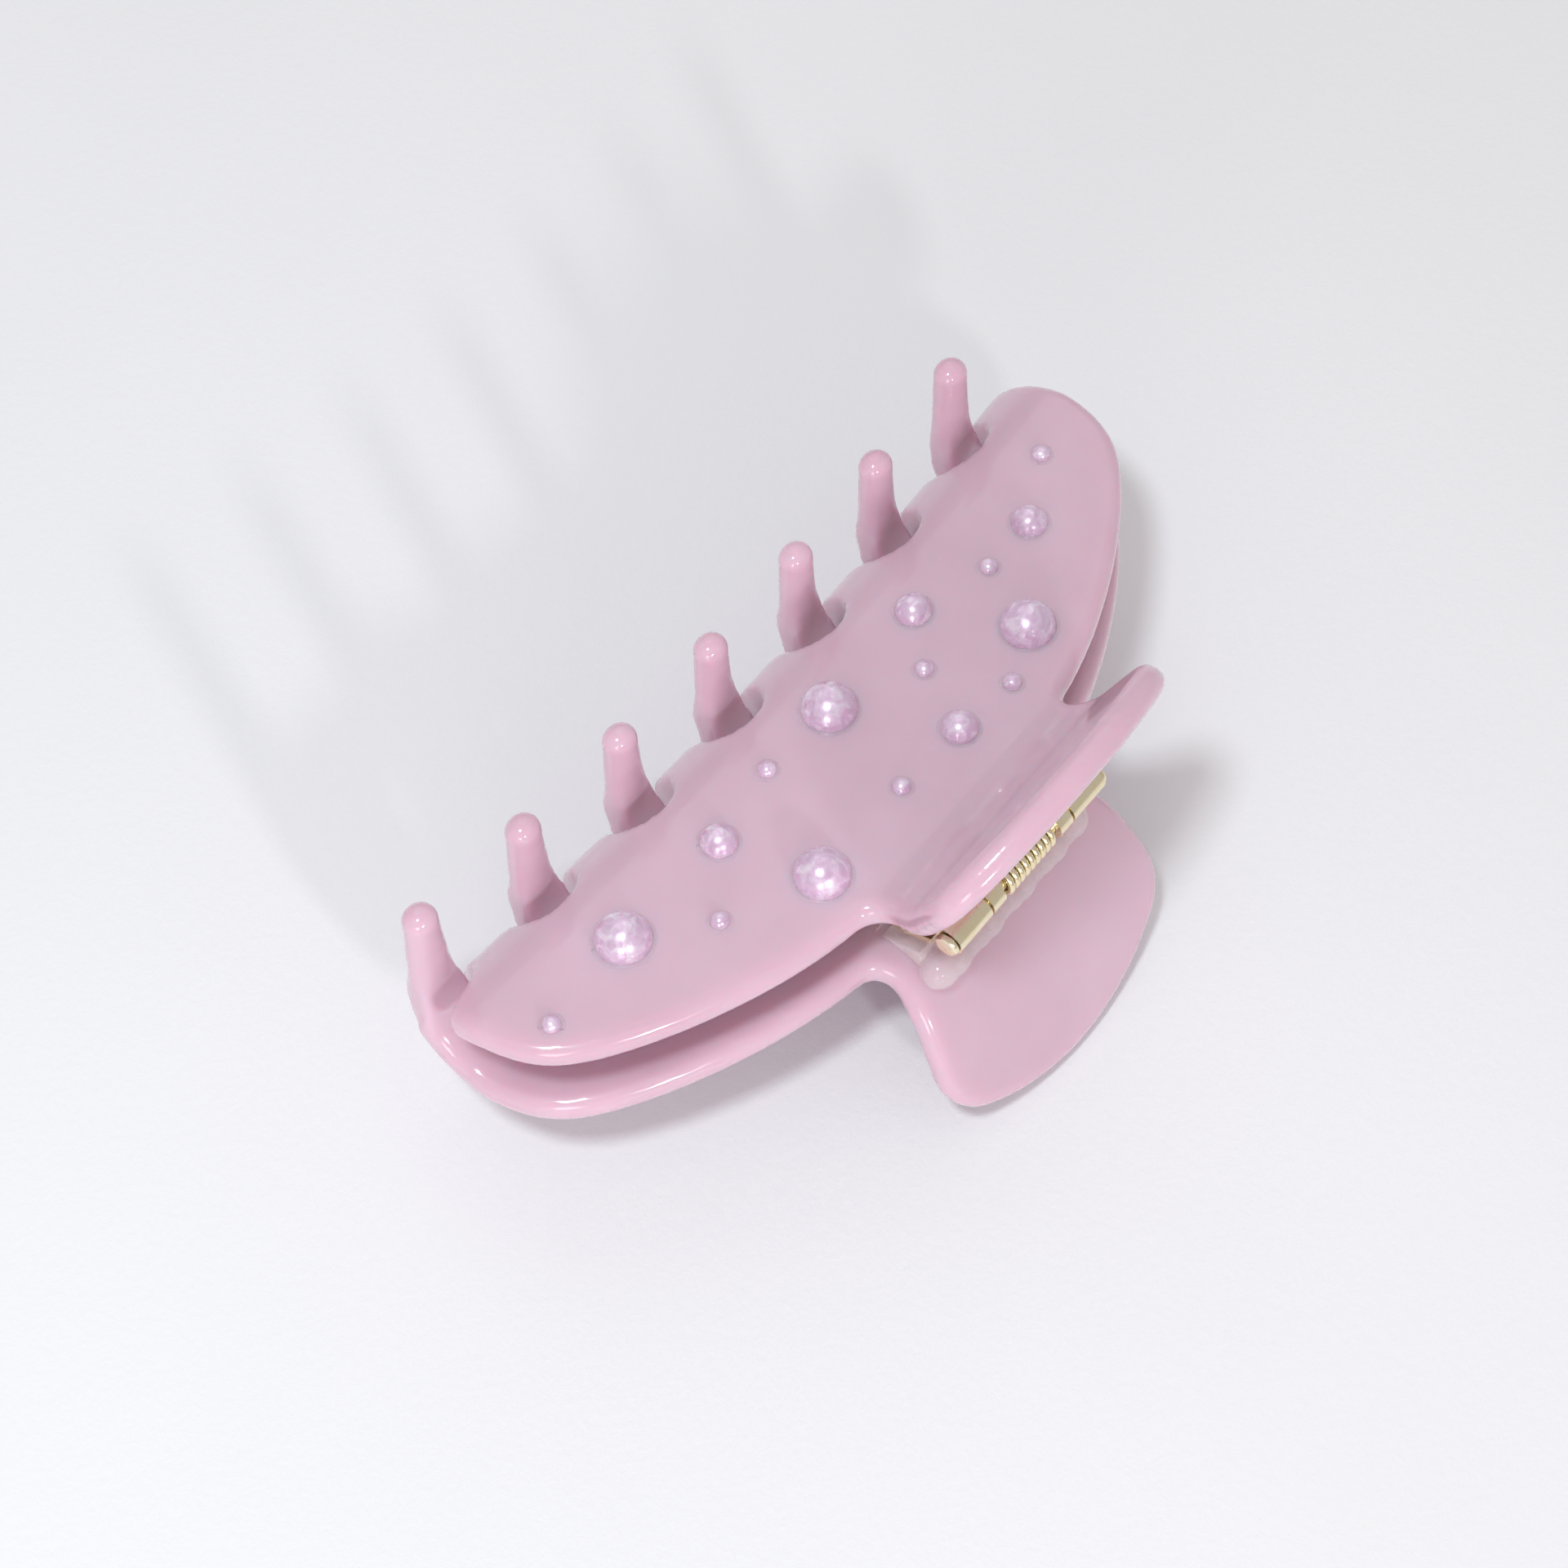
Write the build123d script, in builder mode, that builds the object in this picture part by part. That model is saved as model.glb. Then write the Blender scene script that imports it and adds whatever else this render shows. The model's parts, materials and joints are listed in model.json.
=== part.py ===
"""Claw clip: two identical sheet jaws on a sprung gold knuckle hinge, set with half pearls.

The clip lies as it rests on a table. X runs along the hinge pin, +Y from the handles towards the
teeth, +Z up. The origin is on the table, under the middle of the clip. The upper jaw stands on its
longest tooth, and the lower jaw on the edge of its handle.

Each jaw is one sheet, heat-bent at the handle and at the teeth. It is drawn in the jaw's own
frame: the hinge pin is at the origin, Y runs along the flat plate towards the teeth, and Z away
from the other jaw. The lower jaw is the same moulding, turned half a turn about Y.
"""
import os
from math import asin, atan2, cos, degrees, radians, sin, tan

from build123d import *

os.makedirs("parts", exist_ok=True)

# ---------------------------------------------------------------- driving dimensions, mm, degrees
THICK = 3.4            # sheet thickness
ROUND = 1.5            # rounding of the sheet's edges
PLATE_H = 4.85         # hinge pin to the middle of the plate
HALF_GAPE = 1.0        # each plate leans this far away from the parting plane
HALF_LENGTH = 51.5     # hinge line: middle to the end of the jaw

BEND_START = 9.7       # hinge pin to where the plate bends up into the handle
BEND_R = 12.0          # radius of that bend, at mid-sheet
HANDLE_ANGLE = 62.4    # handle to plate
HANDLE_LENGTH = 15.5   # straight part of the handle, at its middle
HANDLE_HALF = 24.4     # half width at the far corners
NECK_HALF = 15.2       # half width at the notch beside the plate
NECK_Y = 6.1           # hinge pin to that notch
NECK_R = 2.5           # rounding of the notch's corner
FLARE_Y = -18.7        # where the handle's sides have spread to HANDLE_HALF
HANDLE_RIM_R = 29.1    # far edge of the handle
HANDLE_CORNER_R = 6.5  # rounding of the handle's far corners

CURL_START = 26.1      # hinge pin to where the plate begins to curl, at the middle
CURL_R = 10.2          # radius of the curl, at mid-sheet
CURL_ANGLE = 92.1
CRESCENT_R = 613.0     # the curl's line is an arc of this radius, so the jaw's ends reach further

TEETH = 7
PITCH = 14.65
VALLEY = 4.5           # from the curl's start to the bottom of a notch, along the sheet
VALLEY_RISE = 0.85e-3  # how much later it comes towards the ends, times x squared
NOTCH_R = 4.2          # radius of a notch's bottom
TOOTH_END_W = 3.4      # width of a tooth's end, which is as thick as the sheet
TOOTH_DROP = 10.1      # straight part of a middle tooth below the curl
TOOTH_RISE = 0.73e-3   # how much longer the outer teeth are, times x squared
NOTCH_LEAN = 30        # notches are cut along this lean from the plate's normal
END_SLOPE = 22         # slope of the jaw's end beside its first notch

BARREL_HALF = 12.8     # hinge barrel, middle to end
LEAF_KNUCKLES = ((-BARREL_HALF, -7.3), (4.9, 7.0))
LEAF_CUTS = ((-7.0, 4.6), (7.3, 12.9))   # room for the other leaf's knuckles and the spring
END_GAP = 0.15         # from the barrel's end to the pin's head
LEAF_T = 0.75          # thickness of the leaf's sheet
PIN_R = 0.8
BORE_R = 0.85          # 0.05 mm clear of the pin all round
KNUCKLE_R = BORE_R + LEAF_T
LEAF_RISE_END = 6.0    # where the leaf reaches the plate's inner face
LEAF_END = 15.0
PIN_HEAD_R = 1.4
PIN_HEAD_T = 0.6

WIRE = 0.8             # spring wire diameter
COIL_R = 1.3           # to the middle of the wire
COIL_TURNS = 9
COIL_PITCH = 0.9
LEG_LENGTH = 5.45      # pin's level to the end of a leg

HINGE_X = 1.2          # the hinge is glued in this far from the jaws' middle
BED_HALF = 14.5        # clear resin that beds each leaf: half length along the pin
BED_REAR = 2.6         # hinge pin to the resin's edge

PEARL_D = {"large": 6.0, "medium": 4.0, "small": 2.0}
PEARL_SPOTS = {        # places on the plate, in the jaw's frame
    "large": [(-34.0, 24.2), (-16.0, 12.7), (1.0, 24.7), (22.0, 14.2)],
    "medium": [(-19.0, 23.7), (7.0, 12.2), (16.5, 25.2), (33.5, 22.2)],
    "small": [(-46.0, 23.7), (-26.5, 17.7), (-9.0, 25.2), (-2.5, 12.7),
              (11.0, 19.7), (15.0, 11.2), (26.0, 22.2), (42.0, 26.7)],
}
RESIN_FOOT = 0.45      # reach of the resin round a pearl's foot

# ---------------------------------------------------------------- places worked out from these
INNER_Z = PLATE_H - THICK / 2
OUTER_Z = PLATE_H + THICK / 2
HANDLE_TURN = radians(HANDLE_ANGLE)
CURL_TURN = radians(CURL_ANGLE)
FIRST_TOOTH = -(TEETH - 1) / 2 * PITCH + PITCH / 4
LAST_TOOTH = FIRST_TOOTH + (TEETH - 1) * PITCH
LONGEST_TOOTH = TOOTH_DROP + TOOTH_RISE * LAST_TOOTH**2
bend_top = (BEND_START - BEND_R * sin(HANDLE_TURN), PLATE_H + BEND_R * (1 - cos(HANDLE_TURN)))
handle_tip = (bend_top[0] - HANDLE_LENGTH * cos(HANDLE_TURN),
              bend_top[1] + HANDLE_LENGTH * sin(HANDLE_TURN))
crescent_y = CURL_START + CRESCENT_R
WING_CLIMB = atan2(INNER_Z - KNUCKLE_R, LEAF_RISE_END)
wing_join = LEAF_RISE_END - LEAF_T / 2 * tan(WING_CLIMB / 2)


def crescent(x):
    """How much further from the pin the curl's line is at x than at the middle."""
    return x * x / (2 * CRESCENT_R)


def along_notch(x, past):
    """Height, in the leaning notch sketch, of a point that is past the curl's start."""
    turn = past / CURL_R - radians(NOTCH_LEAN)
    return CURL_R * (sin(turn) + sin(radians(NOTCH_LEAN))) + crescent(x) * cos(radians(NOTCH_LEAN))


def tooth_end(x):
    """Height of a tooth's end in the leaning notch sketch."""
    lean = radians(NOTCH_LEAN)
    curl = CURL_R * (sin(CURL_TURN - lean) + sin(lean))
    return curl + (TOOTH_DROP + TOOTH_RISE * x * x) * cos(CURL_TURN - lean) + crescent(x) * cos(lean)


def sharp_edges(solid, least=50):
    """Edges where two faces meet at more than this angle."""
    faces_at = {}
    for face in solid.faces():
        for edge in face.edges():
            faces_at.setdefault(hash(edge), []).append((edge, face))
    found = ShapeList()
    for pair in faces_at.values():
        if len(pair) == 2:
            edge = pair[0][0]
            middle = edge.position_at(0.5)
            if pair[0][1].normal_at(middle).get_angle(pair[1][1].normal_at(middle)) > least:
                found.append(edge)
    return found


def wing_top(y):
    """Height of the top of a leaf's wing, in the leaf's rising part."""
    return INNER_Z - (wing_join - y) * tan(WING_CLIMB)


# ---------------------------------------------------------------- the jaw
with BuildPart() as jaw:
    # handle, bend and plate
    with BuildSketch(Plane.YZ):
        with BuildLine():
            plate = Line((CURL_START - 6, PLATE_H), (BEND_START, PLATE_H))
            bend = ThreePointArc(
                plate @ 1,
                (BEND_START - BEND_R * sin(HANDLE_TURN / 2),
                 PLATE_H + BEND_R * (1 - cos(HANDLE_TURN / 2))),
                bend_top,
            )
            Line(bend @ 1, handle_tip)
        trace(line_width=THICK)
    extrude(amount=HALF_LENGTH + 6, both=True)

    # the curl, turned about a far axis so that its line is a shallow arc
    swing = asin((HALF_LENGTH + 6) / (CRESCENT_R - 20))
    with BuildSketch(Plane(origin=(0, crescent_y, 0), x_dir=(-sin(swing), cos(swing), 0),
                           z_dir=(cos(swing), sin(swing), 0))):
        with BuildLine():
            flat = Line((-CRESCENT_R - 10, PLATE_H), (-CRESCENT_R, PLATE_H))
            curl = ThreePointArc(
                flat @ 1,
                (-CRESCENT_R + CURL_R * sin(CURL_TURN / 2), PLATE_H - CURL_R * (1 - cos(CURL_TURN / 2))),
                (-CRESCENT_R + CURL_R * sin(CURL_TURN), PLATE_H - CURL_R * (1 - cos(CURL_TURN))),
            )
            Line(curl @ 1, curl @ 1 + (LONGEST_TOOTH + 2) * (curl % 1))
        trace(line_width=THICK)
    revolve(axis=Axis((0, crescent_y, 0), (0, 0, 1)), revolution_arc=-degrees(2 * swing))

    # outline seen square to the plate: half moon and the sides of the handle
    with BuildSketch(Plane.XY.offset(-40)) as outline:
        with BuildLine():
            neck = (NECK_HALF, NECK_Y)
            edge = Spline((NECK_HALF + 3, NECK_Y + 0.5), (34.0, 11.65), (41.9, 15.9), (47.7, 20.4),
                          (HALF_LENGTH, 30.2), tangents=[(1, 0.17), (0.1, 1)])
            Line(neck, edge @ 0)
            side = Line(neck, (HANDLE_HALF, FLARE_Y))
            Line(side @ 1, (0, FLARE_Y))
            end = Line(edge @ 1, (HALF_LENGTH, 60))
            Line(end @ 1, (0, 60))
            mirror(about=Plane.YZ)
        make_face()
        fillet(outline.vertices().filter_by_position(Axis.Y, NECK_Y - 0.1, NECK_Y + 0.1), radius=NECK_R)
    extrude(amount=90, mode=Mode.INTERSECT)

    # far edge of the handle, cut square to the handle
    with BuildSketch(Plane(origin=(0, *bend_top), x_dir=(1, 0, 0),
                           z_dir=(0, sin(HANDLE_TURN), cos(HANDLE_TURN)))):
        with BuildLine():
            rim = CenterArc((0, HANDLE_RIM_R - HANDLE_LENGTH), HANDLE_RIM_R, 205, 130)
            Polyline(rim @ 1, (30, -30), (-30, -30), rim @ 0)
        make_face()
    extrude(amount=20, both=True, mode=Mode.SUBTRACT)
    corners = jaw.edges().filter_by_position(Axis.Y, -13, -1).filter_by(
        lambda e: abs(e.center().X) > 17 and e.length < THICK + 0.4)
    fillet(corners, radius=HANDLE_CORNER_R)
    rims = sharp_edges(jaw.part).filter_by(
        lambda e: e.center().Y < CURL_START + 5.6 and abs(e.tangent_at(0.5).Z) < 0.95)
    fillet(rims, radius=ROUND)

    # notches between the teeth; each leans with the curl, and the first and last open to the ends
    lean = radians(NOTCH_LEAN)
    with BuildSketch(Plane(origin=(0, CURL_START, PLATE_H), x_dir=(1, 0, 0),
                           z_dir=(0, sin(lean), cos(lean)))):
        far = 34
        for k in range(TEETH):
            x = FIRST_TOOTH + (k - 0.5) * PITCH
            centre = along_notch(x, VALLEY + VALLEY_RISE * x * x) + NOTCH_R
            end_half = (PITCH - TOOTH_END_W) / 2
            flare = (end_half - NOTCH_R) / (tooth_end(x) - centre) * (far - centre)
            with BuildLine():
                cup = ThreePointArc((x - NOTCH_R, centre), (x, centre - NOTCH_R), (x + NOTCH_R, centre))
                Polyline(cup @ 1, (x + NOTCH_R + flare, far), (x - NOTCH_R - flare, far), cup @ 0)
            make_face()

        x = LAST_TOOTH + PITCH / 2
        foot = along_notch(x, VALLEY + VALLEY_RISE * x * x) + NOTCH_R
        with BuildLine():
            Polyline((LAST_TOOTH + TOOTH_END_W / 2, tooth_end(LAST_TOOTH)), (x - NOTCH_R, foot),
                     (HALF_LENGTH + 6, foot - HALF_LENGTH - 6 + x - NOTCH_R), (HALF_LENGTH + 6, far),
                     (LAST_TOOTH + 0.6, far), close=True)
        make_face()

        x = FIRST_TOOTH - PITCH / 2
        slope = radians(END_SLOPE)
        centre = along_notch(x, VALLEY + VALLEY_RISE * x * x) + NOTCH_R
        touch = (x + NOTCH_R * sin(slope), centre - NOTCH_R * cos(slope))
        outside = -HALF_LENGTH - 6
        with BuildLine():
            Polyline(touch, (outside, touch[1] + (outside - touch[0]) * tan(slope)), (outside, far),
                     (touch[0], far), close=True)
        make_face()
    extrude(amount=60, both=True, mode=Mode.SUBTRACT)

    # the teeth's ends
    for k in range(TEETH):
        x = FIRST_TOOTH + k * PITCH
        drop = CURL_R * (1 - cos(CURL_TURN)) + TOOTH_DROP + TOOTH_RISE * x * x
        with Locations((x, CURL_START + CURL_R, PLATE_H - drop - 10)):
            Box(PITCH - 0.01, 30, 20, mode=Mode.SUBTRACT)

# ---------------------------------------------------------------- hinge leaf
with BuildPart() as leaf:
    # wing: leaves the top of the knuckles and lies on the plate's inner face
    with BuildSketch(Plane.YZ):
        with BuildLine():
            Polyline((0, KNUCKLE_R - LEAF_T / 2), (LEAF_RISE_END, INNER_Z - LEAF_T / 2),
                     (LEAF_END, INNER_Z - LEAF_T / 2))
        trace(line_width=LEAF_T)
    extrude(amount=BARREL_HALF, both=True)
    # beside the other leaf's knuckles and the spring, the wing starts clear of the barrel
    with BuildSketch(Plane.XY):
        for low, high in LEAF_CUTS:
            with Locations(((low + high) / 2, 0)):
                Rectangle(high - low, 2 * (KNUCKLE_R + LEAF_T))
    extrude(amount=INNER_Z, mode=Mode.SUBTRACT)
    # rolled knuckles: a long one at one end, a short one on the other side of the spring
    for low, high in LEAF_KNUCKLES:
        with BuildSketch(Plane.YZ.offset(low)):
            Circle(KNUCKLE_R)
        extrude(amount=high - low)
        with BuildSketch(Plane.YZ.offset(low)):
            Circle(BORE_R)
        extrude(amount=high - low, mode=Mode.SUBTRACT)

# ---------------------------------------------------------------- hinge pin, headed at both ends
with BuildPart() as pin:
    with BuildSketch(Plane.YZ.offset(-BARREL_HALF - END_GAP)):
        Circle(PIN_R)
    extrude(amount=2 * (BARREL_HALF + END_GAP))
    with BuildSketch(Plane.YZ.offset(BARREL_HALF + END_GAP)):
        Circle(PIN_HEAD_R)
    extrude(amount=PIN_HEAD_T)
    mirror(about=Plane.YZ)
    fillet(pin.edges().group_by(Axis.X)[-1] + pin.edges().group_by(Axis.X)[0], radius=0.4)

# ---------------------------------------------------------------- torsion spring
# left-hand coil round the pin; each end runs straight out to the handle that it pushes
coil_half = COIL_TURNS * COIL_PITCH / 2
with BuildPart() as spring:
    with BuildLine():
        coil = Helix(pitch=COIL_PITCH, height=2 * coil_half, radius=COIL_R,
                     center=(-coil_half, 0, 0), direction=(1, 0, 0), lefthand=True)
    with BuildSketch(Plane(origin=coil @ 0, z_dir=coil % 0)):
        Circle(WIRE / 2)
    sweep(path=coil, is_frenet=True)
    for x, reach in ((-coil_half, LEG_LENGTH), (coil_half, -LEG_LENGTH)):
        with BuildSketch(Plane.XZ):
            with Locations((x, COIL_R)):
                Circle(WIRE / 2)
        extrude(amount=reach)

# ---------------------------------------------------------------- clear resin bed of a leaf
with BuildPart() as bed:
    with BuildSketch(Plane.YZ):
        with BuildLine():
            inner_r = BEND_R + THICK / 2
            centre_z = PLATE_H + BEND_R
            rear_z = centre_z - (inner_r**2 - (BEND_START - BED_REAR) ** 2) ** 0.5
            middle_y = (BEND_START + BED_REAR) / 2
            middle_z = centre_z - (inner_r**2 - (BEND_START - middle_y) ** 2) ** 0.5
            skin = ThreePointArc((BEND_START, INNER_Z), (middle_y, middle_z), (BED_REAR, rear_z))
            Polyline(skin @ 1, (BED_REAR, wing_top(BED_REAR)), (wing_join, INNER_Z), skin @ 0)
        make_face()
    extrude(amount=BED_HALF, both=True)

# ---------------------------------------------------------------- pearls and their resin rings
pearls = {}
rings = {}
for size, diameter in PEARL_D.items():
    radius = diameter / 2
    with BuildPart() as pearl:
        Sphere(radius)
        split(bisect_by=Plane.XY, keep=Keep.TOP)
    pearls[size] = pearl
    with BuildPart() as ring:
        with BuildSketch(Plane.XZ):
            with BuildLine():
                Polyline((radius * 0.8, 0), (radius + RESIN_FOOT, 0), (radius, RESIN_FOOT),
                         (radius * 0.8, RESIN_FOOT), close=True)
            make_face()
            Circle(radius, mode=Mode.SUBTRACT)
        revolve(axis=Axis.Z)
    rings[size] = ring

# ---------------------------------------------------------------- how the clip lies at rest
# the edge of the lower handle and the longest tooth of the upper jaw stand on the table
lean = radians(HALF_GAPE)
tooth_y = CURL_START + crescent(LAST_TOOTH) + CURL_R * sin(CURL_TURN)
tooth_z = PLATE_H - CURL_R * (1 - cos(CURL_TURN)) - LONGEST_TOOTH + THICK / 2
edge_y = handle_tip[0] + THICK / 2 * cos(HANDLE_TURN)
edge_z = handle_tip[1] - THICK / 2 * sin(HANDLE_TURN)
TILT = degrees(atan2(
    -(tooth_y + edge_y) * sin(lean) - (tooth_z + edge_z) * cos(lean),
    (tooth_y - edge_y) * cos(lean) + (edge_z - tooth_z) * sin(lean),
))


def placed(piece, place, name):
    """A copy of a piece at its place in the clip, written as one node."""
    with BuildPart() as copy:
        with Locations(place):
            add(piece.part)
    copy.part.label = name
    export_step(copy.part, f"parts/{name}.step")
    return copy


upper_turn = Location((0, 0, 0), (TILT + HALF_GAPE, 0, 0))
lower_turn = Location((0, 0, 0), (TILT - HALF_GAPE, 0, 0)) * Location((0, 0, 0), (0, 180, 0))
low_box = jaw.part.moved(lower_turn).bounding_box()
high_box = jaw.part.moved(upper_turn).bounding_box()
PIN_Y = -(min(low_box.min.Y, high_box.min.Y) + max(low_box.max.Y, high_box.max.Y)) / 2
PIN_Z = -min(low_box.min.Z, high_box.min.Z)
pin_place = Location((0, PIN_Y, PIN_Z))
pin_turn = Location((0, 0, 0), (TILT, 0, 0))
spring_turn = Location((0, 0, 0), (TILT - 90, 0, 0))
turns = {"upper": upper_turn, "lower": lower_turn}

hinge_place = Location((HINGE_X, PIN_Y, PIN_Z))
placed(pin, hinge_place * pin_turn, "hinge_pin")
placed(spring, hinge_place * spring_turn, "torsion_spring")
for side, turn in turns.items():
    placed(jaw, pin_place * turn, f"{side}_jaw")
    placed(leaf, hinge_place * turn, f"{side}_hinge_leaf")
    placed(bed, hinge_place * turn, f"{side}_leaf_resin_bed")
    with BuildPart() as resin:
        for size, spots in PEARL_SPOTS.items():
            for number, (x, y) in enumerate(spots, start=1):
                spot = pin_place * turn * Location((x, y, OUTER_Z))
                placed(pearls[size], spot, f"{side}_{size}_pearl_{number}")
                with Locations(spot):
                    add(rings[size].part)
    resin.part.label = f"{side}_pearl_resin"
    export_step(resin.part, f"parts/{side}_pearl_resin.step")
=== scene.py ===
"""Claw clip: moulded pink sheet jaws, nacre half pearls, a gold-plated hinge and clear resin.

The CAD frame is used as it is: X runs along the hinge pin, +Y from the handles to the teeth, +Z up.
A jaw's own directions start at the pin: y runs along its plate to the teeth, and its teeth point
down its own z.
"""
import json
from math import cos, pi, radians, sin

import bmesh
import bpy
import numpy as np
from mathutils import Matrix, Vector


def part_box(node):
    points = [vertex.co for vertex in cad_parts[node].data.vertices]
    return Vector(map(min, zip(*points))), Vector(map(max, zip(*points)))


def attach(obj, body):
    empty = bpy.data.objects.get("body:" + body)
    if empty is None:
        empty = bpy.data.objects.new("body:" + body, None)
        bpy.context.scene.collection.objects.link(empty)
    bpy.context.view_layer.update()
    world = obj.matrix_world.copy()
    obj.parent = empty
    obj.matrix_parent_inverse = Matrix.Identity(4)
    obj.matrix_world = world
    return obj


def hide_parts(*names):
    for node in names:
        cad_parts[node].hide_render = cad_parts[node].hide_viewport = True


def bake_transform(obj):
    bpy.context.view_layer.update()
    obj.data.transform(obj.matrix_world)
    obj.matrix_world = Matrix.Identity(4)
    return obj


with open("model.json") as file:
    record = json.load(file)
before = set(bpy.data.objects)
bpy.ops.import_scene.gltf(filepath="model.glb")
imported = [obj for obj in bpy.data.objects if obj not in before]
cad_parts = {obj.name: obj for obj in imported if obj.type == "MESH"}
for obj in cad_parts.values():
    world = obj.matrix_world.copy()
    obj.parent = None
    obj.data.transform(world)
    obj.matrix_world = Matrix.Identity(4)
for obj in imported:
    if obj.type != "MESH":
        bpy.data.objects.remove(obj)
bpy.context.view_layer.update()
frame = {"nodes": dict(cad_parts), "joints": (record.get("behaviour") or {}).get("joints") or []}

MM = 0.001
PIN = Vector(frame["joints"][0]["pos_m"])
TILT = radians(-10.2)             # the plane between the jaws, at rest
HALF_GAPE = radians(1.0)          # each jaw leans this far from that plane

TEETH = 7
PITCH = 14.65 * MM
FIRST_TOOTH = -40.2875 * MM       # the first tooth's middle, from the jaw's middle
TEETH_FROM = 30 * MM              # the teeth lie this far or further past the hinge pin
TOOTH_ROOT = -3.0 * MM            # level, from the pin, where a tooth begins to turn round
TOOTH_BLEND = 5.5 * MM            # and how much further down it is fully round
TOOTH_DOME = 1.7 * MM             # height of a tooth's domed end
SLAB = 1.0 * MM                   # a tooth's width is measured in slabs this thick
LEAST_REACH = 0.6                 # limits how far a point near a tooth's middle is pushed out

JAW_VOXEL = 0.42 * MM
JAW_PASSES = 9                    # smoothing passes
BED_VOXEL = 0.2 * MM
BED_PASSES = 5

GLUE_X = (-12.4 * MM, 10.5 * MM)  # the glue under the barrel runs from here to here
GLUE_Y = 0.7 * MM                 # its middle, from the pin, along the lower plate
GLUE_Z = -4.5 * MM                # and square to that plate, below the pin
GLUE_DROP = (2.4 * MM, 2.1 * MM, 2.1 * MM)  # half sizes of a drop
GLUE_STEP = 1.9 * MM              # from one drop to the next
GLUE_SWELL = 0.08                 # how much the drops differ in size
GLUE_BEAT = 2.1                   # radians of that swell's wave from one drop to the next

WIRE_R = 0.4 * MM
COIL_R = 1.3 * MM                 # to the middle of the wire
COIL_TURNS = 9
COIL_STEPS = 22                   # points in a turn
LEG = 5.4 * MM                    # pin's level to the end of a leg
LEG_SHARES = (1.0, 0.6, 0.25)     # where a leg's points lie along it

# the camera looks down at the clip from beside its left end
ELEVATION = radians(60.53)
AZIMUTH = radians(61.33)
ROLL = radians(10.35)
DISTANCE = 0.4171
TARGET = Vector((-0.0012, 0.0136, 0.010))
FIELD = radians(23.0)

WORLD_TINT = (1.0, 0.955, 0.95, 1.0)
WORLD_STRENGTH = 0.50
FLOOR_HALF = 1.5
FLOOR_DROP = 0.1 * MM             # the floor lies this far below the clip


# ---------------------------------------------------------------- shader helpers
class Nodes:
    """A material's node tree, with short calls that add nodes and link them."""

    def __init__(self, name):
        self.material = bpy.data.materials.new(name)
        self.material.use_nodes = True
        self.tree = self.material.node_tree
        self.shader = self.tree.nodes["Principled BSDF"]
        self.place = self.add("ShaderNodeTexCoord").outputs["Object"]

    def add(self, kind, **settings):
        node = self.tree.nodes.new(kind)
        for key, value in settings.items():
            node.inputs[key].default_value = value
        return node

    def link(self, source, target):
        self.tree.links.new(source, target)

    def noise(self, scale, detail=3.0, roughness=0.5, distortion=0.0):
        """Noise with lumps about 1/scale metres across."""
        node = self.add("ShaderNodeTexNoise", Scale=scale, Detail=detail, Roughness=roughness,
                        Distortion=distortion)
        self.link(self.place, node.inputs["Vector"])
        return node.outputs["Fac"]

    def colour(self, value, *stops):
        """Base colours at places along value."""
        node = self.add("ShaderNodeValToRGB")
        elements = node.color_ramp.elements
        while len(elements) < len(stops):
            elements.new(0.5)
        for element, (position, colour) in zip(elements, stops):
            element.position = position
            element.color = (*colour, 1.0)
        self.link(value, node.inputs["Fac"])
        self.link(node.outputs["Color"], self.shader.inputs["Base Color"])

    def roughness(self, value, low, high):
        """Roughness from low to high, as value goes from 0.3 to 0.7."""
        node = self.add("ShaderNodeMapRange")
        node.inputs["From Min"].default_value = 0.3
        node.inputs["From Max"].default_value = 0.7
        node.inputs["To Min"].default_value = low
        node.inputs["To Max"].default_value = high
        self.link(value, node.inputs["Value"])
        self.link(node.outputs["Result"], self.shader.inputs["Roughness"])

    def bump(self, height, depth, strength):
        node = self.add("ShaderNodeBump", Strength=strength, Distance=depth)
        self.link(height, node.inputs["Height"])
        self.link(node.outputs["Normal"], self.shader.inputs["Normal"])

    def set(self, **values):
        """Constants on the shader's own sockets, with _ for each space in a socket's name."""
        for key, value in values.items():
            self.shader.inputs[key.replace("_", " ")].default_value = value


# ---------------------------------------------------------------- materials
def jaw_plastic():
    """Translucent dusty pink plastic, faintly cloudy inside and polished outside."""
    n = Nodes("dusty_pink_plastic")
    n.colour(n.noise(55.0), (0.28, (0.645, 0.445, 0.540)), (0.5, (0.675, 0.475, 0.575)),
             (0.72, (0.705, 0.505, 0.61)))
    n.roughness(n.noise(140.0), 0.12, 0.20)
    n.set(Subsurface_Weight=0.75, Subsurface_Radius=(0.0040, 0.0012, 0.0014), Subsurface_Scale=1.0,
          IOR=1.47, Coat_Weight=0.5, Coat_Roughness=0.04, Coat_IOR=1.5)
    n.bump(n.noise(110.0, 1.0), 0.00002, 0.5)
    return n.material


def pearl():
    """Lavender nacre with pale and deep patches under a clear gloss."""
    n = Nodes("lavender_nacre")
    patches = n.noise(620.0, 3.0, 0.6, 1.2)
    n.colour(patches, (0.32, (0.72, 0.50, 0.69)), (0.5, (0.82, 0.62, 0.81)),
             (0.66, (0.94, 0.82, 0.95)))
    n.roughness(n.noise(900.0, 2.0), 0.24, 0.36)
    n.set(Metallic=0.4, Subsurface_Weight=0.3, Subsurface_Radius=(0.0016, 0.0011, 0.0014),
          Coat_Weight=1.0, Coat_Roughness=0.09, IOR=1.6)
    n.bump(n.noise(1500.0, 2.0), 0.00003, 0.5)
    return n.material


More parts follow.
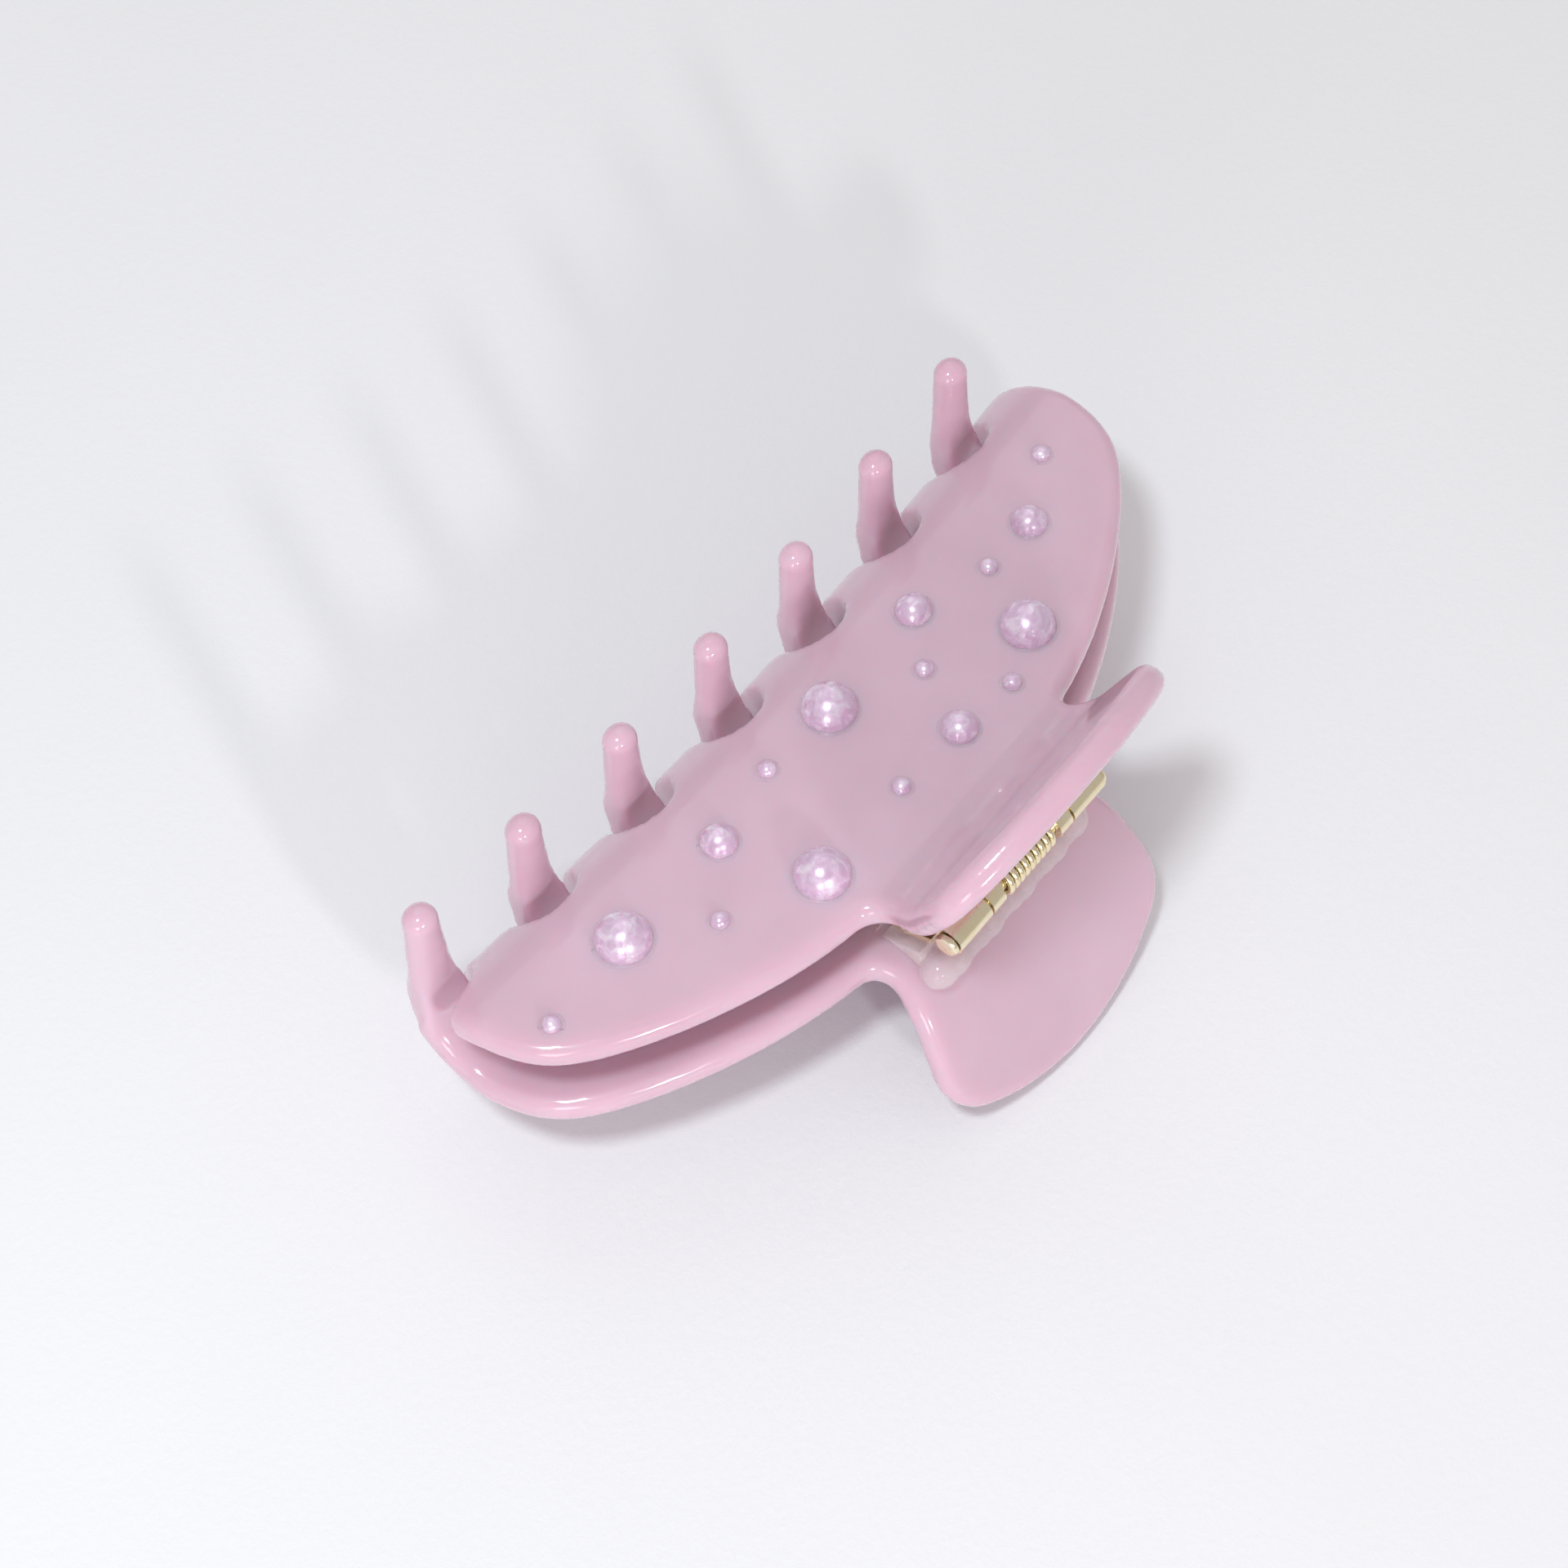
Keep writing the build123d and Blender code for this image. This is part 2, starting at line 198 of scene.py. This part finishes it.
def gold_plate():
    """Pale gold plating, a little uneven."""
    n = Nodes("pale_gold_plate")
    n.colour(n.noise(420.0), (0.35, (0.92, 0.81, 0.55)), (0.65, (0.95, 0.86, 0.63)))
    n.roughness(n.noise(1300.0, 2.0), 0.20, 0.28)
    n.set(Metallic=1.0)
    n.bump(n.noise(2600.0, 2.0), 0.00002, 0.5)
    return n.material


def clear_resin():
    """Clear glue, a little milky, with a wavy skin."""
    n = Nodes("clear_resin")
    n.colour(n.noise(300.0), (0.35, (0.93, 0.84, 0.86)), (0.7, (0.98, 0.93, 0.93)))
    n.roughness(n.noise(500.0, 2.0), 0.05, 0.14)
    n.set(Alpha=0.30, IOR=1.5, Coat_Weight=1.0, Coat_Roughness=0.02)
    n.bump(n.noise(420.0, 2.0), 0.00018, 0.9)
    return n.material


def foot_resin():
    """The thin clear resin drawn up round a pearl's foot; it takes the plastic's colour."""
    n = Nodes("pearl_foot_resin")
    n.colour(n.noise(700.0), (0.35, (0.84, 0.66, 0.77)), (0.7, (0.90, 0.74, 0.84)))
    n.roughness(n.noise(900.0, 2.0), 0.08, 0.16)
    n.set(Alpha=0.15, IOR=1.4, Coat_Weight=0.3, Coat_Roughness=0.03, Subsurface_Weight=0.5,
          Subsurface_Radius=(0.003, 0.0015, 0.0018))
    n.bump(n.noise(900.0, 2.0), 0.00004, 0.6)
    return n.material


def table_top():
    """Matt grey-white sheet with a fine grain."""
    n = Nodes("grey_white_sheet")
    n.colour(n.noise(9.0, 4.0), (0.35, (0.84, 0.84, 0.865)), (0.65, (0.86, 0.86, 0.885)))
    n.roughness(n.noise(400.0), 0.5, 0.7)
    n.set(Specular_IOR_Level=0.35)
    n.bump(n.noise(900.0, 4.0, 0.7), 0.0002, 0.35)
    return n.material


PLASTIC = jaw_plastic()
PEARL = pearl()
GOLD = gold_plate()
RESIN = clear_resin()
FOOT_RESIN = foot_resin()


# ---------------------------------------------------------------- piece helpers
def add_object(name, data):
    thing = bpy.data.objects.new(name, data)
    bpy.context.scene.collection.objects.link(thing)
    return thing


def finish_mesh(mesh, material):
    mesh.materials.clear()
    mesh.materials.append(material)
    mesh.polygons.foreach_set("use_smooth", [True] * len(mesh.polygons))


def applied(thing):
    """A mesh of an object as its modifiers or its bevel make it."""
    graph = bpy.context.evaluated_depsgraph_get()
    return bpy.data.meshes.new_from_object(thing.evaluated_get(graph))


def rounded(name, sources, voxel, passes, material):
    """One skin over the source meshes, with every edge rounded off."""
    join = bmesh.new()
    for source in sources:
        join.from_mesh(source)
    mesh = bpy.data.meshes.new(name)
    join.to_mesh(mesh)
    join.free()
    piece = add_object(name, mesh)
    skin = piece.modifiers.new("skin", "REMESH")
    skin.mode = "VOXEL"
    skin.voxel_size = voxel
    soft = piece.modifiers.new("soft", "SMOOTH")
    soft.factor = 0.5
    soft.iterations = passes
    final = applied(piece)
    piece.modifiers.clear()
    piece.data = final
    bpy.data.meshes.remove(mesh)
    finish_mesh(final, material)
    return piece


def paint(node, material):
    """Gives a carried-over CAD node its material."""
    for slot in frame["nodes"][node].material_slots:
        slot.material = material


# ---------------------------------------------------------------- jaws
def round_teeth(mesh, side):
    """Turns the square teeth into round prongs with domed ends, without changing their length."""
    places = np.empty(len(mesh.vertices) * 3)
    mesh.vertices.foreach_get("co", places)
    sign = 1.0 if side == "upper" else -1.0
    turn = np.array(Matrix.Rotation(TILT + sign * HALF_GAPE, 3, "X"))
    local = (places.reshape(-1, 3) - np.array(PIN)) @ turn
    local[:, (0, 2)] *= sign
    for number in range(TEETH):
        middle = FIRST_TOOTH + number * PITCH
        near = abs(local[:, 0] - middle) < PITCH / 2
        own = np.flatnonzero(near & (local[:, 1] > TEETH_FROM) & (local[:, 2] < TOOTH_ROOT))
        tooth = local[own]
        dome = tooth[:, 2].min() + TOOTH_DOME
        level = np.maximum(tooth[:, 2], dome)
        slabs = np.floor((level - dome) / SLAB).astype(int)
        heights = dome + (np.arange(slabs.max() + 1) + 0.5) * SLAB
        middles = np.zeros((len(own), 2))
        halves = np.zeros((len(own), 2))
        for axis in (0, 1):
            across = [tooth[slabs == slab, axis] for slab in range(len(heights))]
            low = np.interp(level, heights, [values.min() for values in across])
            high = np.interp(level, heights, [values.max() for values in across])
            middles[:, axis] = (low + high) / 2
            halves[:, axis] = (high - low) / 2
        unit = np.column_stack(((tooth[:, :2] - middles) / halves,
                                (tooth[:, 2] - level) / TOOTH_DOME))
        share = np.clip((TOOTH_ROOT - tooth[:, 2]) / TOOTH_BLEND, 0.0, 1.0)
        share = share * share * (3 - 2 * share)
        length = np.maximum(np.linalg.norm(unit, axis=1), LEAST_REACH)
        unit *= (1 + share * (1 / length - 1))[:, np.newaxis]
        local[own, :2] = middles + unit[:, :2] * halves
        local[own, 2] = level + unit[:, 2] * TOOTH_DOME
    local[:, (0, 2)] *= sign
    mesh.vertices.foreach_set("co", (local @ turn.T + np.array(PIN)).ravel())
    mesh.update()


def jaw(side):
    node = f"{side}_jaw"
    sources = [frame["nodes"][node].data]
    piece = rounded(f"{side}_jaw_moulding", sources, JAW_VOXEL, JAW_PASSES, PLASTIC)
    round_teeth(piece.data, side)
    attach(piece, f"{side}_half")
    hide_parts(node)


# ---------------------------------------------------------------- resin round each leaf
def glue_line():
    """The lumpy line of glue run along the lower handle, under the barrel."""
    turn = Matrix.Rotation(TILT - HALF_GAPE, 4, "X")
    place = PIN + turn @ Vector((0.0, GLUE_Y, GLUE_Z))
    edit = bmesh.new()
    first, last = GLUE_X
    for number in range(int((last - first) / GLUE_STEP) + 1):
        swell = 1 + GLUE_SWELL * sin(GLUE_BEAT * number)
        along = Vector((first + number * GLUE_STEP, 0.0, 0.0))
        size = Matrix.Diagonal((*(radius * swell for radius in GLUE_DROP), 1.0))
        bmesh.ops.create_icosphere(edit, subdivisions=3, radius=1.0,
                                   matrix=Matrix.Translation(place + along) @ turn @ size)
    mesh = bpy.data.meshes.new("glue_line")
    edit.to_mesh(mesh)
    edit.free()
    return mesh


def resin_bed(side):
    node = f"{side}_leaf_resin_bed"
    sources = [frame["nodes"][node].data]
    if side == "lower":
        sources.append(glue_line())
    piece = rounded(f"{side}_leaf_glue", sources, BED_VOXEL, BED_PASSES, RESIN)
    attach(piece, f"{side}_half")
    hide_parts(node)


# ---------------------------------------------------------------- torsion spring
def spring():
    """Wound wire with a straight leg at each end: one points up toward the upper jaw, the other
    down toward the lower jaw.
    """
    low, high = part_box("torsion_spring")
    half = (high.x - low.x) / 2 - WIRE_R
    middle = (low.x + high.x) / 2
    origin = Vector((middle, PIN.y, PIN.z))
    turn = Matrix.Rotation(TILT, 4, "X")
    path = [Vector((-half, COIL_R, LEG * share)) for share in LEG_SHARES]
    for step in range(COIL_TURNS * COIL_STEPS + 1):
        angle = 2 * pi * step / COIL_STEPS
        x = -half + 2 * half * step / (COIL_TURNS * COIL_STEPS)
        path.append(Vector((x, COIL_R * cos(angle), -COIL_R * sin(angle))))
    path += [Vector((half, COIL_R, -LEG * share)) for share in reversed(LEG_SHARES)]
    curve = bpy.data.curves.new("spring_wire", "CURVE")
    curve.dimensions = "3D"
    curve.bevel_depth = WIRE_R
    curve.bevel_resolution = 3
    curve.use_fill_caps = True
    line = curve.splines.new("POLY")
    line.points.add(len(path) - 1)
    for point, place in zip(line.points, path):
        point.co = (*(origin + turn @ place), 1.0)
    holder = add_object("spring_holder", curve)
    mesh = applied(holder)
    bpy.data.objects.remove(holder)
    finish_mesh(mesh, GOLD)
    piece = add_object("spring_coil", mesh)
    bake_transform(piece)
    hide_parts("torsion_spring")


# ---------------------------------------------------------------- assemble
for side in ("upper", "lower"):
    jaw(side)
    resin_bed(side)
    paint(f"{side}_hinge_leaf", GOLD)
    paint(f"{side}_pearl_resin", FOOT_RESIN)
    for node in frame["nodes"]:
        if node.startswith(side) and "_pearl_" in node and not node.endswith("resin"):
            paint(node, PEARL)
paint("hinge_pin", GOLD)
spring()

# ---------------------------------------------------------------- floor
floor_mesh = bpy.data.meshes.new("floor")
floor_edit = bmesh.new()
bmesh.ops.create_grid(floor_edit, x_segments=1, y_segments=1, size=FLOOR_HALF)
floor_edit.to_mesh(floor_mesh)
floor_edit.free()
finish_mesh(floor_mesh, table_top())
floor = add_object("floor", floor_mesh)
floor.location.z = -FLOOR_DROP

# ---------------------------------------------------------------- camera
level_forward = Vector((sin(AZIMUTH), cos(AZIMUTH), 0.0))
forward = level_forward * cos(ELEVATION) - Vector((0.0, 0.0, sin(ELEVATION)))
level_right = Vector((cos(AZIMUTH), -sin(AZIMUTH), 0.0))
level_up = level_right.cross(forward)
right = level_right * cos(ROLL) + level_up * sin(ROLL)
up = level_up * cos(ROLL) - level_right * sin(ROLL)

camera_data = bpy.data.cameras.new("camera")
camera_data.angle = FIELD
camera_data.dof.use_dof = False
camera = add_object("camera", camera_data)
axes = Matrix((right, up, -forward)).transposed().to_4x4()
camera.matrix_world = Matrix.Translation(TARGET - forward * DISTANCE) @ axes
bpy.context.scene.camera = camera


# ---------------------------------------------------------------- world and lights
def lamp(name, offset, size, power, tint):
    """A soft round light at an offset from the camera's target, turned to face it."""
    data = bpy.data.lights.new(name, "AREA")
    data.shape = "DISK"
    data.size = size
    data.energy = power
    data.color = tint
    light = add_object(name, data)
    light.location = TARGET + offset
    light.rotation_euler = (-offset).to_track_quat("-Z", "Y").to_euler()


world = bpy.data.worlds.new("studio")
world.use_nodes = True
background = world.node_tree.nodes["Background"]
background.inputs["Color"].default_value = WORLD_TINT
background.inputs["Strength"].default_value = WORLD_STRENGTH
bpy.context.scene.world = world
bpy.context.scene.view_settings.view_transform = "Standard"

lamp("key", -0.58 * forward + 0.11 * up - 0.10 * right, 0.08, 1.45, (0.90, 0.98, 1.0))
lamp("low", -0.45 * forward - 0.30 * up + 0.24 * right, 0.05, 0.75, (1.0, 0.98, 0.98))
lamp("strip", -0.55 * level_forward + Vector((0.0, 0.0, 0.16)), 0.20, 0.45, (1.0, 0.97, 0.97))
lamp("panel", Vector((0.43, 0.52, 0.73)), 1.0, 1.0, (0.95, 0.96, 1.0))
